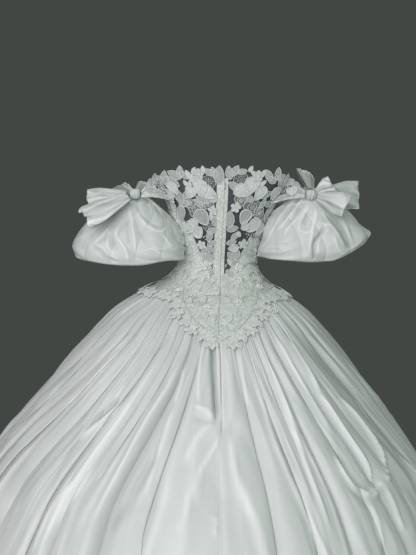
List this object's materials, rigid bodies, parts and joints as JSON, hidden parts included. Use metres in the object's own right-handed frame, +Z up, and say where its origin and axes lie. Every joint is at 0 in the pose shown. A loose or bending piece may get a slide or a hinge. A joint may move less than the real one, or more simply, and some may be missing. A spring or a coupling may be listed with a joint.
{
  "type": "wedding dress",
  "caption": "Off-the-shoulder wedding dress with lace over a net V back, balloon sleeves with bows and a full gathered skirt, hollow as worn and open at neck, cuffs and hem.",
  "frame": {"origin": "middle of the waist, where the wearer holds the gown", "axes": "+Z up, -Y towards the back of the gown with its opening, +X towards the wearer's right"},
  "size_m": [1.7082, 1.5677, 1.354],
  "materials": {
    "taffeta": "cool white silk taffeta with a soft sheen",
    "satin": "cool white duchess satin",
    "net": "dark slate net, matt",
    "lace": "white corded lace with beads"
  },
  "bodies": {
    "root": {"bodice_front": "satin", "bodice_back_left": "satin", "bodice_back_right": "satin", "yoke_net_left": "net", "yoke_net_right": "net", "yoke_lace_left": "lace", "yoke_lace_right": "lace", "placket_left": "satin", "placket_right": "satin", "hip_lace_left": "lace", "hip_lace_right": "lace", "hip_lace_front": "lace", "skirt_back_left": "taffeta", "skirt_back_right": "taffeta", "skirt_side_left": "taffeta", "skirt_side_right": "taffeta", "skirt_front": "taffeta", "shoulder_band_left": "satin", "shoulder_band_right": "satin", "sleeve_left": "taffeta", "sleeve_right": "taffeta", "cuff_left": "taffeta", "cuff_right": "taffeta", "bow_knot_left": "taffeta", "bow_knot_right": "taffeta", "bow_left_outer": "taffeta", "bow_left_lower": "taffeta", "bow_left_front": "taffeta", "bow_left_top": "taffeta", "bow_right_outer": "taffeta", "bow_right_lower": "taffeta", "bow_right_wrap": "taffeta", "bow_right_front": "taffeta"}
  },
  "joints": []
}
